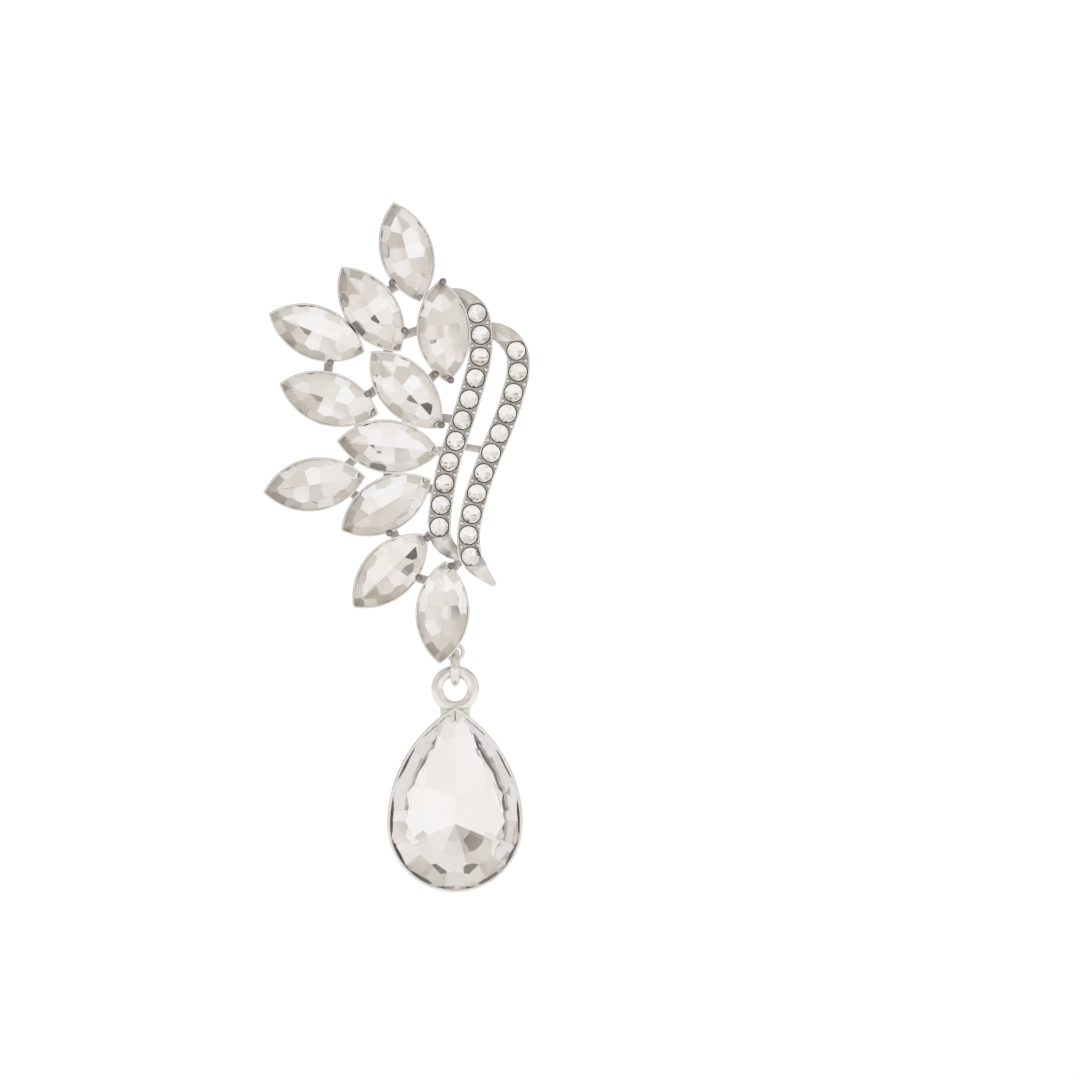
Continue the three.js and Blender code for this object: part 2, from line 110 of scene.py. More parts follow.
def smoothShade(piece, angle=40):
    chooseOnly(piece)
    bpy.ops.object.shade_smooth_by_angle(angle=math.radians(angle))


def copyPiece(piece, name):
    twin = piece.copy()
    twin.data = piece.data.copy()
    twin.name = name
    twin.data.name = name
    bpy.context.scene.collection.objects.link(twin)
    return twin


def setDown(piece, place, turn=0.0):  # puts a piece at its place on the earring, still lying down
    piece.matrix_world = Matrix.Translation(place) @ Matrix.Rotation(turn, 4, "Z")
    chooseOnly(piece)
    bpy.ops.object.transform_apply(location=True, rotation=True, scale=True)


def joinPieces(pieces, name):
    chooseOnly(*pieces)
    if len(pieces) > 1:
        bpy.ops.object.join()
    joined = bpy.context.active_object
    joined.name = name
    joined.data.name = name
    return joined


def standUp(piece, body, slot, *nodes):  # millimetres lying down become metres hanging
    piece.matrix_world = Matrix.Rotation(math.pi / 2, 4, "X") @ Matrix.Scale(0.001, 4)
    chooseOnly(piece)
    bpy.ops.object.transform_apply(location=True, rotation=True, scale=True)
    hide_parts(*nodes)
    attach(piece, body)


def nodeMiddle(name):  # where a CAD node's middle lies, in millimetres lying down
    low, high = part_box(name)
    middle = (low + high) * 500
    return Vector((middle.x, middle.z, -middle.y))


def nodeEnds(name):
    low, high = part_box(name)
    return Vector((low.x, low.z, -high.y)) * 1000, Vector((high.x, high.z, -low.y)) * 1000


# ---------- materials


def newMaterial(name):
    material = bpy.data.materials.new(name)
    material.use_nodes = True
    return material, material.node_tree.nodes, material.node_tree.links


def addNode(nodes, kind, **values):
    made = nodes.new(kind)
    for name, value in values.items():
        if name in made.inputs:
            made.inputs[name].default_value = value
        else:
            setattr(made, name, value)
    return made


def rampNode(nodes, stops, interpolation="LINEAR"):
    ramp = nodes.new("ShaderNodeValToRGB")
    ramp.color_ramp.interpolation = interpolation
    while len(ramp.color_ramp.elements) < len(stops):
        ramp.color_ramp.elements.new(0.5)
    for element, (place, colour) in zip(ramp.color_ramp.elements, stops):
        element.position = place
        element.color = (*colour, 1)
    return ramp


def rhodiumPlate(name, light, dark, roughLow, roughHigh):
    material, nodes, links = newMaterial(name)
    shader = nodes["Principled BSDF"]
    shader.inputs["Metallic"].default_value = 1.0
    where = addNode(nodes, "ShaderNodeTexCoord")
    clouds = addNode(nodes, "ShaderNodeTexNoise", Scale=700.0, Detail=3.0, Roughness=0.6)
    tone = rampNode(nodes, [(0.3, dark), (0.7, light)])
    links.new(where.outputs["Object"], clouds.inputs["Vector"])
    links.new(clouds.outputs["Fac"], tone.inputs["Fac"])
    links.new(tone.outputs["Color"], shader.inputs["Base Color"])
    polish = addNode(nodes, "ShaderNodeTexNoise", Scale=1600.0, Detail=2.0)
    gloss = addNode(nodes, "ShaderNodeMapRange")
    gloss.inputs["To Min"].default_value = roughLow
    gloss.inputs["To Max"].default_value = roughHigh
    links.new(where.outputs["Object"], polish.inputs["Vector"])
    links.new(polish.outputs["Fac"], gloss.inputs["Value"])
    links.new(gloss.outputs["Result"], shader.inputs["Roughness"])
    grain = addNode(nodes, "ShaderNodeTexNoise", Scale=4200.0, Detail=2.0)
    relief = addNode(nodes, "ShaderNodeBump", Strength=0.12, Distance=0.00002)
    links.new(where.outputs["Object"], grain.inputs["Vector"])
    links.new(grain.outputs["Fac"], relief.inputs["Height"])
    links.new(relief.outputs["Normal"], shader.inputs["Normal"])
    return material


def crystalGlass(name):
    material, nodes, links = newMaterial(name)
    shader = nodes["Principled BSDF"]
    shader.inputs["Transmission Weight"].default_value = 1.0
    shader.inputs["IOR"].default_value = 1.18
    where = addNode(nodes, "ShaderNodeTexCoord")
    clouds = addNode(nodes, "ShaderNodeTexNoise", Scale=260.0, Detail=1.0)
    tint = rampNode(nodes, [(0.35, (0.985, 0.97, 0.95)), (0.65, (0.985, 0.985, 0.995))])
    links.new(where.outputs["Object"], clouds.inputs["Vector"])
    links.new(clouds.outputs["Fac"], tint.inputs["Fac"])
    links.new(tint.outputs["Color"], shader.inputs["Base Color"])
    gloss = addNode(nodes, "ShaderNodeMapRange")
    gloss.inputs["To Min"].default_value = 0.0
    gloss.inputs["To Max"].default_value = 0.02
    links.new(clouds.outputs["Fac"], gloss.inputs["Value"])
    links.new(gloss.outputs["Result"], shader.inputs["Roughness"])
    return material


def foilWithPaintedReflections(name):  # each facet's painted reflection tone picks its tint and how mirror-like the foil is
    material, nodes, links = newMaterial(name)
    shader = nodes["Principled BSDF"]
    mirror = addNode(nodes, "ShaderNodeMapRange")
    mirror.inputs["From Min"].default_value = 0.2
    mirror.inputs["From Max"].default_value = 0.8
    mirror.inputs["To Min"].default_value = 0.3
    mirror.inputs["To Max"].default_value = 0.9
    facet = addNode(nodes, "ShaderNodeAttribute", attribute_name="paintedFacetLight")
    where = addNode(nodes, "ShaderNodeTexCoord")
    clouds = addNode(nodes, "ShaderNodeTexNoise", Scale=500.0, Detail=2.0)
    mottle = addNode(nodes, "ShaderNodeMapRange")
    mottle.inputs["To Min"].default_value = -0.05
    mottle.inputs["To Max"].default_value = 0.05
    total = addNode(nodes, "ShaderNodeMath", operation="ADD")
    # painted reflection and shade: the tint runs from shaded beige to bright, standing for what each facet reflects
    tint = rampNode(nodes, [
        (0.0, (0.56, 0.51, 0.455)),
        (0.15, (0.73, 0.685, 0.63)),
        (0.4, (0.82, 0.785, 0.74)),
        (0.7, (0.88, 0.86, 0.835)),
        (1.0, (0.90, 0.89, 0.90)),
    ])
    links.new(where.outputs["Object"], clouds.inputs["Vector"])
    links.new(clouds.outputs["Fac"], mottle.inputs["Value"])
    links.new(facet.outputs["Fac"], total.inputs[0])
    links.new(mottle.outputs["Result"], total.inputs[1])
    links.new(total.outputs["Value"], tint.inputs["Fac"])
    links.new(total.outputs["Value"], mirror.inputs["Value"])
    links.new(mirror.outputs["Result"], shader.inputs["Metallic"])
    links.new(tint.outputs["Color"], shader.inputs["Base Color"])
    gloss = addNode(nodes, "ShaderNodeMapRange")
    gloss.inputs["To Min"].default_value = 0.02
    gloss.inputs["To Max"].default_value = 0.07
    links.new(clouds.outputs["Fac"], gloss.inputs["Value"])
    links.new(gloss.outputs["Result"], shader.inputs["Roughness"])
    return material


metal = rhodiumPlate("rhodiumPlate", (0.84, 0.825, 0.805), (0.72, 0.70, 0.675), 0.14, 0.3)
# painted shade: the same plate drawn darker, for the drilled seats and the sunken strip of the bars
recessShade = rhodiumPlate("paintedRecessShade", (0.62, 0.58, 0.56), (0.44, 0.41, 0.39), 0.3, 0.5)
# painted shade: the claws are the same plated metal drawn near black, for shade at the cup corners
paintedShadeClawMetal = rhodiumPlate("paintedShadeClaw", (0.40, 0.38, 0.36), (0.24, 0.22, 0.21), 0.25, 0.4)
soldered = rhodiumPlate("solderedWeb", (0.66, 0.63, 0.60), (0.48, 0.45, 0.43), 0.25, 0.4)
hammered = rhodiumPlate("hammeredTail", (0.78, 0.76, 0.73), (0.60, 0.58, 0.55), 0.2, 0.38)
crystal = crystalGlass("crystalGlass")
reflectionPaintedFoil = foilWithPaintedReflections("foilWithPaintedReflections")
print("materials made")


# ---------- outlines that the stones and cups share, as one flat face


def navetteFace(name, grow, steps=96):  # two equal arcs that meet in points
    length, width = navette["length"] + 2 * grow, navette["width"] + 2 * grow
    radius = (length**2 + width**2) / (4 * width)
    bpy.ops.mesh.primitive_circle_add(
        vertices=steps, radius=radius, fill_type="NGON", location=(0, width / 2 - radius, 0))
    piece = namePiece(name)
    startEdit(piece)
    cutOff((0, 0, 0), (0, -1, 0), fill=False)
    bpy.ops.mesh.select_all(action="SELECT")
    bpy.ops.mesh.duplicate()
    bpy.ops.transform.resize(value=(1, -1, 1), center_override=(0, 0, 0))
    mergeFace()
    return piece


def pearFace(name, grow, steps=128):  # half a circle with two flatter arcs that meet above it
    length, width = pear["length"] + 2 * grow, pear["width"] + 2 * grow
    round_ = width / 2
    height = length - round_
    flank = (round_**2 + height**2) / width
    bpy.ops.mesh.primitive_circle_add(vertices=steps, radius=flank, fill_type="NGON",
                                      location=(round_ - flank, 0, 0))
    piece = namePiece(name)
    startEdit(piece)
    cutOff((0, 0, 0), (0, -1, 0), fill=False)
    cutOff((0, 0, 0), (-1, 0, 0), fill=False)
    bpy.ops.mesh.select_all(action="SELECT")
    bpy.ops.mesh.duplicate()
    bpy.ops.transform.resize(value=(-1, 1, 1), center_override=(0, 0, 0))
    endEdit()
    bpy.ops.mesh.primitive_circle_add(vertices=steps // 2, radius=round_, fill_type="NGON")
    bowl = namePiece(name + "Bowl")
    startEdit(bowl)
    cutOff((0, 0, 0), (0, 1, 0), fill=False)
    bpy.ops.mesh.select_all(action="SELECT")
    bpy.ops.mesh.bisect(plane_co=(0, 0, 0), plane_no=(1, 0, 0), threshold=1e-5)  # a corner in the middle
    endEdit()
    piece = joinPieces([piece, bowl], name)
    startEdit(piece)
    mergeFace()
    return piece


def mergeFace():  # the halves become one face that looks to the viewer
    bpy.ops.mesh.select_all(action="SELECT")
    bpy.ops.mesh.remove_doubles(threshold=1e-4)
    bpy.ops.mesh.normals_make_consistent(inside=False)
    bpy.ops.mesh.dissolve_limited(angle_limit=math.radians(0.05))
    bpy.ops.mesh.select_all(action="SELECT")


def navetteEdge(facing, grow=0.0):  # the outline's point that faces a direction
    length, width = navette["length"] + 2 * grow, navette["width"] + 2 * grow
    radius = (length**2 + width**2) / (4 * width)
    side = math.copysign(1, math.sin(facing))
    return Vector((radius * math.cos(facing), radius * math.sin(facing) - side * (radius - width / 2)))


def navetteFacings(shares):
    half = math.asin(4 * navette["length"] * navette["width"]
                     / (2 * (navette["length"]**2 + navette["width"]**2)))
    return [middle + share * half for middle in (math.pi / 2, -math.pi / 2) for share in shares]


def pearEdge(facing, grow=0.0):
    length, width = pear["length"] + 2 * grow, pear["width"] + 2 * grow
    bowl = width / 2
    flank = (bowl**2 + (length - bowl)**2) / width
    if math.sin(facing) <= 0:
        return Vector((bowl * math.cos(facing), bowl * math.sin(facing)))
    side = math.copysign(1, math.cos(facing))
    return Vector((flank * math.cos(facing) - side * (flank - bowl), flank * math.sin(facing)))


def pearFacings(degrees):
    both = []
    for degree in degrees:
        both.append(math.radians(degree))
        if degree != -90:
            both.append(math.pi - math.radians(degree))
    return both


def roundEdge(facing):
    return Vector((math.cos(facing), math.sin(facing))) * roundStone["diameter"] / 2


# ---------- cutting stones


def facetPlane(edgeOf, facing, level, slope, inset=0.0):  # a facet that starts inside the edge
    outward = Vector((math.cos(facing), math.sin(facing)))
    place = edgeOf(facing) - outward * inset
    fall = math.tan(math.radians(slope))
    return (place.x, place.y, level), (outward.x * abs(fall), outward.y * abs(fall), math.copysign(1, fall))


def ridgePoint(edgeOf, first, second, inset):  # where two crown facets meet, this far in from the edge
    a, b = (Vector((math.cos(f), math.sin(f))) for f in (first, second))
    reachA, reachB = edgeOf(first).dot(a) - inset, edgeOf(second).dot(b) - inset
    turn = a.x * b.y - a.y * b.x
    return Vector(((reachA * b.y - reachB * a.y) / turn, (a.x * reachB - b.x * reachA) / turn))


def cutStone(piece, stone, edgeOf, facings):
    bpy.ops.transform.translate(value=(0, 0, -stone["pavilion"]))
    growUp(stone["pavilion"] + stone["girdle"] + stone["crown"])
    closeSkin()
    top = stone["girdle"]
    for facing in facings["crown"]:
        cutOff(*facetPlane(edgeOf, facing, top, stone["crownSlope"]))
    for facing in facings["brim"]:
        cutOff(*facetPlane(edgeOf, facing, top, stone["brimSlope"]))
    rise = stone["starStart"] * stone["crown"]
    inset = rise / math.tan(math.radians(stone["crownSlope"]))
    order = sorted(facing % (2 * math.pi) for facing in facings["crown"])
    for first, second in zip(order, order[1:] + order[:1]):
        place = ridgePoint(edgeOf, first, second, inset)
        middle = math.atan2(math.sin(first) + math.sin(second), math.cos(first) + math.cos(second))
        fall = math.tan(math.radians(stone["starSlope"]))
        cutOff((place.x, place.y, top + rise), (math.cos(middle) * fall, math.sin(middle) * fall, 1))
    for facing in facings["back"]:
        cutOff(*facetPlane(edgeOf, facing, 0, -stone["backSlope"]))
    level = -stone["shelf"] * math.tan(math.radians(stone["backSlope"]))
    for facing in facings["heart"]:
        cutOff(*facetPlane(edgeOf, facing, level, -stone["heartSlope"], stone["shelf"]))
    closeSkin()
    endEdit()
    piece.data.materials.append(crystal)
    piece.data.materials.append(reflectionPaintedFoil)
    for polygon in piece.data.polygons:
        polygon.material_index = 1 if polygon.normal.z < 0.3 else 0
    return piece


def paintFacetLight(piece, stone, seed, outward=(1, 0)):  # a painted reflection tone for each facet, with painted shade towards the outer end
    draw = random.Random(seed)
    tones = piece.data.attributes.new("paintedFacetLight", "FLOAT", "FACE")
    reach = max(abs(vertex.co.x * outward[0] + vertex.co.y * outward[1]) for vertex in piece.data.vertices)
    slant = Vector((1, 0.37, 0.11))  # facets are toned along it, as their own order varies from run to run
    for polygon in sorted(piece.data.polygons, key=lambda facet: facet.center.dot(slant)):
        place = (polygon.center.x * outward[0] + polygon.center.y * outward[1]) / reach
        end = stone["paintedLightOuter"] if place > 0 else stone["paintedLightInner"]
        tone = stone["paintedLightMiddle"] + (end - stone["paintedLightMiddle"]) * abs(place)
        tones.data[polygon.index].value = tone + draw.uniform(-1, 1) * stone["paintedLightSpread"]


navette = {
    "length": 10.0, "width": 5.0, "crown": 0.95, "girdle": 0.25, "pavilion": 1.7,
    "crownSlope": 34, "brimSlope": 44, "starStart": 0.5, "starSlope": 18,
    "backSlope": 25, "heartSlope": 16, "shelf": 0.9,
    # painted shade: the navettes' outer ends take the darkest facet tones
    "paintedLightMiddle": 0.78, "paintedLightOuter": 0.08, "paintedLightInner": 0.6, "paintedLightSpread": 0.36,
    "leans": {1: 105, 2: 125, 3: 158, 4: 94, 5: 132, 6: 163, 7: 174, 8: 9, 9: 30, 10: 45, 11: 87},
}
navetteCut = {
    "crown": navetteFacings([-0.82, -0.3, 0.3, 0.82]),
    "brim": navetteFacings([-0.97, -0.58, 0.58, 0.97]),
    "back": navetteFacings([-0.97, -0.75, -0.45, -0.15, 0.15, 0.45, 0.75, 0.97]),
    "heart": navetteFacings([-0.95, -0.7, -0.33, 0, 0.33, 0.7, 0.95]),
}
pattern = navetteFace("navettePattern", 0.0)
pattern = cutStone(pattern, navette, navetteEdge, navetteCut)
navettePlaces = {}
for number, lean in navette["leans"].items():
    node = f"navette_{number:02d}"
    middle = nodeMiddle(node)
    back = nodeEnds(node)[0].z
    place = Vector((middle.x, middle.y, back + navette["pavilion"]))
    navettePlaces[number] = (place, math.radians(lean))
    stone = copyPiece(pattern, f"navette{number:02d}Crystal")
    paintFacetLight(stone, navette, number, (1 if lean > 90 else -1, 0))
    setDown(stone, place, math.radians(lean))
    standUp(stone, "wing", crystalSlot, node)
bpy.data.objects.remove(pattern)
print("navettes cut")

pear = {
    "length": 18.0, "width": 13.0, "crown": 2.0, "girdle": 0.4, "pavilion": 3.1,
    "crownSlope": 32, "brimSlope": 40, "starStart": 0.5, "starSlope": 16,
    "backSlope": 19, "heartSlope": 12, "shelf": 2.0,
    "paintedLightMiddle": 0.9, "paintedLightOuter": 0.8, "paintedLightInner": 0.75, "paintedLightSpread": 0.2,
}
pearCut = {
    "crown": pearFacings([-90, -58, -28, 2, 28, 48]),
    "brim": pearFacings([-74, -43, -13, 15, 38, 56]),
    "back": pearFacings([-90, -70, -50, -30, -10, 10, 26, 40, 52, 58]),
    "heart": [math.radians(degree) for degree in (-100, -48, 2, 40, 140, 178, 228)],
}
dropStone = pearFace("dropCrystal", 0.0)
dropStone = cutStone(dropStone, pear, pearEdge, pearCut)
pearLow, pearHigh = nodeEnds("drop_stone")
pearPlace = Vector(((pearLow.x + pearHigh.x) / 2, pearLow.y + pear["width"] / 2, pearLow.z + pear["pavilion"]))
paintFacetLight(dropStone, pear, 40, (0, -1))
setDown(dropStone, pearPlace)
standUp(dropStone, "drop", crystalSlot, "drop_stone")
print("pear cut")

roundStone = {
    "diameter": 1.8, "crown": 0.36, "girdle": 0.12, "pavilion": 0.75,
    "crownSlope": 38, "brimSlope": 46, "starStart": 0.5, "starSlope": 18,
    "backSlope": 28, "heartSlope": 19, "shelf": 0.35,
    "paintedLightMiddle": 0.85, "paintedLightOuter": 0.85, "paintedLightInner": 0.85, "paintedLightSpread": 0.3,
}
eighths = [math.radians(45 * i) for i in range(8)]
between = [math.radians(45 * i + 22.5) for i in range(8)]
bpy.ops.mesh.primitive_circle_add(vertices=48, radius=roundStone["diameter"] / 2, fill_type="NGON")
pattern = namePiece("roundPattern")
startEdit(pattern)
pattern = cutStone(pattern, roundStone, roundEdge, {
    "crown": eighths, "brim": between, "back": between, "heart": eighths})
barPlaces = {}
for bar in ("inner", "outer"):
    barPlaces[bar] = []
    for number in range(1, 12):
        node = f"{bar}_bar_stone_{number:02d}"
        middle = nodeMiddle(node)
        place = Vector((middle.x, middle.y, nodeEnds(node)[0].z + roundStone["pavilion"]))
        barPlaces[bar].append(place)
        stone = copyPiece(pattern, f"{bar}Bar{number:02d}Crystal")
        paintFacetLight(stone, roundStone, 100 * len(barPlaces) + number)
        setDown(stone, place, math.radians(number * 37))
        standUp(stone, "wing", crystalSlot, node)
bpy.data.objects.remove(pattern)
print("round crystals cut")


# ---------- cups


def modelCup(piece, cup):  # piece is the outline's face, in edit mode, at girdle level
    shares = cup["outside"]
    bpy.ops.transform.translate(value=(0, 0, shares[0][0]))
    bpy.ops.transform.resize(value=(shares[0][1], shares[0][1], 1), center_override=(0, 0, 0))
    for (low, share), (high, nextShare) in zip(shares, shares[1:]):
        growUp(high - low, nextShare / share)
    bpy.ops.mesh.inset(thickness=cup["lip"])
    level = shares[-1][0]
    share = 1.0
    for low, nextShare in cup["inside"]:
        growUp(low - level, nextShare / share)
        level, share = low, nextShare
    closeSkin()
    endEdit()
    softenEdges(piece, cup["softness"])
    smoothShade(piece)
    piece.data.materials.append(metal)
    return piece


navetteCup = {
    "wall": 0.2, "lip": 0.19, "softness": 0.045,
    "outside": [(-2.2, 0.5), (-1.75, 0.64), (-0.95, 0.88), (-0.35, 1.0), (0.35, 1.0)],
    "inside": [(-0.3, 0.99), (-1.9, 0.35)],
}
pattern = modelCup(navetteFace("cupPattern", navetteCup["wall"]), navetteCup)
cups = []
for number, (place, lean) in navettePlaces.items():
    cups.append(copyPiece(pattern, f"cup{number}"))
    setDown(cups[-1], place, lean)
bpy.data.objects.remove(pattern)
standUp(joinPieces(cups, "navetteCups"), "wing", metalSlot, "wing_frame")
print("navette cups made")

pearCup = {
    "wall": 0.3, "lip": 0.29, "softness": 0.06,
    "outside": [(-3.5, 0.36), (-2.9, 0.5), (-1.5, 0.83), (-0.2, 1.0), (0.5, 1.0)],
    "inside": [(-0.5, 0.99), (-3.3, 0.2)],
}
dropCup = modelCup(pearFace("dropCup", pearCup["wall"]), pearCup)
setDown(dropCup, pearPlace)
standUp(dropCup, "drop", metalSlot, "drop_setting")
print("pear cup made")


# ---------- bars


barShape = {
    "width": 2.3, "thickness": 1.9, "softness": 0.05, "wall": 0.17, "sink": 0.22, "endAfter": 1.0,
    "boreRadius": 1.0, "boreDepth": 0.35, "boreTip": 0.7, "beadRadius": 0.25, "beadAside": 0.84, "beadLevel": 1.78,
}
tailShape = {
    "thickness": 1.75, "ridge": 0.35,
    "inner": {"head": [((0.6, 3.9), 0.5), ((1.7, 3.5), 0.75), ((2.55, 2.8), 0.92)],
              "foot": [((-0.1, -21.0), 0.9), ((0.7, -21.9), 0.7), ((2.0, -22.6), 0.4)]},
    "outer": {"head": [((4.1, 0.4), 0.55), ((5.4, 0.0), 0.78), ((6.45, -0.72), 0.94)],
              "foot": [((3.5, -23.7), 0.8), ((4.3, -24.6), 0.5), ((5.15, -25.4), 0.2)]},
}


def sweepProfile(name, corners):  # a bar's or a tail's section, lying on its flat back
    bpy.ops.curve.primitive_bezier_curve_add()
    profile = bpy.context.active_object
    profile.name = name
    profile.data.splines.clear()
    line = profile.data.splines.new("POLY")
    line.points.add(len(corners) - 1)
    for point, (x, y) in zip(line.points, corners):
        point.co = (x, y, 0, 1)
    line.use_cyclic_u = True
    return profile


def sweepBar(name, places, profile, widths, steps=6):  # a swept solid through the places
    bpy.ops.curve.primitive_bezier_curve_add()
    path = bpy.context.active_object
    path.name = name
    path.data.dimensions = "3D"
    path.data.twist_mode = "Z_UP"
    path.data.resolution_u = steps
    path.data.splines.clear()
    line = path.data.splines.new("BEZIER")
    line.bezier_points.add(len(places) - 1)
    for i, (point, place) in enumerate(zip(line.bezier_points, places)):
        point.co = place
        point.handle_left_type = point.handle_right_type = "AUTO"
        point.radius = widths[i]
    path.data.bevel_mode = "OBJECT"
    path.data.bevel_object = profile
    path.data.use_fill_caps = True
    chooseOnly(path)
    bpy.ops.object.convert(target="MESH")
    piece = bpy.context.active_object
    startEdit(piece)
    closeSkin()
    endEdit()
    return piece


bpy.ops.mesh.primitive_circle_add(vertices=40, radius=barShape["boreRadius"], fill_type="NGON", location=(0, 0, 0.5))
drillPattern = namePiece("drillPattern")
startEdit(drillPattern)
growUp(-0.5 - barShape["boreDepth"])
growUp(-barShape["boreTip"], 0.1)
closeSkin()
endEdit()
# painted shade: the drilled seats take the darker recess metal
drillPattern.data.materials.append(recessShade)

half, top = barShape["width"] / 2, barShape["thickness"]
wall, sink = half - barShape["wall"], top - barShape["sink"]
channel = sweepProfile("barProfile", [
    (-half, 0), (half, 0), (half, top), (wall, top), (wall, sink), (-wall, sink), (-wall, top), (-half, top)])
top = tailShape["thickness"]
side = top - tailShape["ridge"]
plank = sweepProfile("tailProfile", [(-half, 0), (half, 0), (half, side), (0, top), (-half, side)])
bars = []
tails = []
for bar, places in barPlaces.items():
    middles = [Vector((place.x, place.y, 0)) for place in places]
    head, foot = tailShape[bar]["head"], tailShape[bar]["foot"]
    line = [Vector((*place, 0)) for place, _ in head] + middles + [Vector((*place, 0)) for place, _ in foot]
    widths = [width for _, width in head] + [1.0] * len(middles) + [width for _, width in foot]
    upward = (middles[0] - middles[1]).normalized()
    downward = (middles[-1] - middles[-2]).normalized()
    top, bottom = middles[0] + upward * barShape["endAfter"], middles[-1] + downward * barShape["endAfter"]
    for place, outward in ((top, upward), (bottom, downward)):
        tail = sweepBar("tail", line, plank, widths, steps=10)
        startEdit(tail)
        cutOff(place, -outward)
        closeSkin()
        endEdit()
        softenEdges(tail, 0.08, angle=20)
        tails.append(tail)
    piece = sweepBar(f"{bar}Bar", line, channel, widths)
    startEdit(piece)
    cutOff(top, upward)
    cutOff(bottom, downward)
    closeSkin()
    endEdit()
    softenEdges(piece, barShape["softness"])
    piece.data.materials.append(metal)
    piece.data.materials.append(recessShade)
    for polygon in piece.data.polygons:  # painted shade: the sunken strip between the walls takes the darker recess metal
        if polygon.normal.z > 0.5 and polygon.center.z < sink + 0.03:
            polygon.material_index = 1
    drills = []
    for place in places:
        drills.append(copyPiece(drillPattern, "drill"))
        setDown(drills[-1], (place.x, place.y, barShape["thickness"]))
    drill = joinPieces(drills, "drill")
    seats = piece.modifiers.new("seats", "BOOLEAN")
    seats.operation = "DIFFERENCE"
    seats.object = drill
    seats.solver = "EXACT"
    seats.material_mode = "TRANSFER"
    chooseOnly(piece)
    bpy.ops.object.modifier_apply(modifier=seats.name)
    bpy.data.objects.remove(drill)
    smoothShade(piece)
    bars.append(piece)
for used in (channel, plank, drillPattern):
    bpy.data.objects.remove(used)
standUp(joinPieces(bars, "stoneBars"), "wing", metalSlot, "wing_frame")
tails = joinPieces(tails, "barTails")
tails.data.materials.append(hammered)
smoothShade(tails)
standUp(tails, "wing", metalSlot, "wing_frame")
print("bars swept and drilled")

bpy.ops.mesh.primitive_uv_sphere_add(segments=16, ring_count=10, radius=barShape["beadRadius"])
pattern = namePiece("beadPattern")
beads = []
for places in barPlaces.values():
    for place, nextPlace in zip(places, places[1:]):
        along = (nextPlace - place).normalized()
        for side in (-1, 1):
            aside = Vector((-along.y, along.x, 0)) * barShape["beadAside"] * side
            bead = copyPiece(pattern, "bead")
            middle = (place + nextPlace) / 2 + aside
            setDown(bead, (middle.x, middle.y, barShape["beadLevel"]))
            beads.append(bead)
bpy.data.objects.remove(pattern)
beads = joinPieces(beads, "barBeads")
beads.data.materials.append(metal)
smoothShade(beads, 80)
standUp(beads, "wing", metalSlot, "wing_frame")
print("beads set")


# ---------- webs, claws and the eye


def alongPiece(name, share):  # a point of the wing, along a navette or down a bar
    if name in barPlaces:
        places = barPlaces[name]
        step = min(int(share * 10), 9)
        return places[step].lerp(places[step + 1], share * 10 - step)
    place, lean = navettePlaces[name]
    return place + Vector((math.cos(lean), math.sin(lean), 0)) * share * navette["length"] / 2


def strut(name, start, end, width, thickness, back, softness=0.08):  # a straight strip
    run = end - start
    run.z = 0
    bpy.ops.mesh.primitive_cube_add(size=1)
    piece = namePiece(name)
    startEdit(piece)
    bpy.ops.transform.resize(value=(run.length, width, thickness), center_override=(0, 0, 0))
    bpy.ops.transform.translate(value=(run.length / 2, 0, back + thickness / 2))
    endEdit()
    softenEdges(piece, softness)
    setDown(piece, (start.x, start.y, 0), math.atan2(run.y, run.x))
    return piece


webShape = {
    "width": 0.9, "thickness": 0.42,
    "from": [(1, -0.5), (1, -0.7), (2, 0), (2, -0.7), (2, -0.5), (3, -0.3), (4, -0.6), (4, 0), (5, 0.4), (5, -0.3),
             (5, -0.7), (6, -0.3), (7, 0.4), (7, 0), (7, -0.6), (8, 0.5), (9, 0.6), (9, -0.1), (10, 0.6), (10, 0), (11, 0.7)],
    "to": [(2, 0.2), (4, 0.5), (3, 0), (4, 0.2), (5, 0.5), (6, 0.1), (5, -0.2), ("inner", 0.08), (6, -0.5), (7, -0.1),
           ("inner", 0.5), (7, 0.3), (8, 0.3), (9, 0), ("inner", 0.65), (9, -0.3), ("inner", 0.82), (10, 0.4),
           ("inner", 1), (11, 0.55), ("outer", 0.97)],
}
webs = []
for start, end in zip(webShape["from"], webShape["to"]):
    webs.append(strut("web", alongPiece(*start), alongPiece(*end), webShape["width"], webShape["thickness"], 0.03))
pinStart, pinEnd = alongPiece("inner", 0.62), alongPiece("outer", 0.49)
inward = (pinEnd - pinStart).normalized() * 1.08
webs.append(strut("pin", pinStart + inward, pinEnd - inward, 0.7, 1.5, 0.03, 0.15))
webs = joinPieces(webs, "backWebs")
webs.data.materials.append(soldered)
smoothShade(webs)
standUp(webs, "wing", metalSlot, "wing_frame")

clawShape = {
    "radius": 0.36, "level": 0.3,
    "places": [(1, 1, -0.44), (2, -1, -0.66), (3, 1, -0.41), (4, 1, -0.78), (4, -1, 0.97), (4, -1, -0.95),
               (5, -1, -0.97), (6, -1, -0.64), (9, -1, -0.19), (10, -1, 0.97), (10, -1, 0.27), (11, -1, 0.9)],
}
bpy.ops.mesh.primitive_uv_sphere_add(segments=20, ring_count=12, radius=clawShape["radius"])
pattern = namePiece("clawPattern")
claws = []
for number, side, along in clawShape["places"]:
    half = navetteFacings([1])[0] - math.pi / 2
    facing = side * math.pi / 2 - side * along * half
    edge = navetteEdge(facing, navetteCup["wall"])
    place, lean = navettePlaces[number]
    turned = Matrix.Rotation(lean, 3, "Z") @ Vector((edge.x, edge.y, clawShape["level"]))
    claw = copyPiece(pattern, "claw")
    setDown(claw, place + turned)
    claws.append(claw)
bpy.data.objects.remove(pattern)
claws = joinPieces(claws, "cornerClaws")
# painted shade: the claws take the near-black claw metal
claws.data.materials.append(paintedShadeClawMetal)
smoothShade(claws, 80)
standUp(claws, "wing", metalSlot, "wing_frame")
print("webs and claws made")


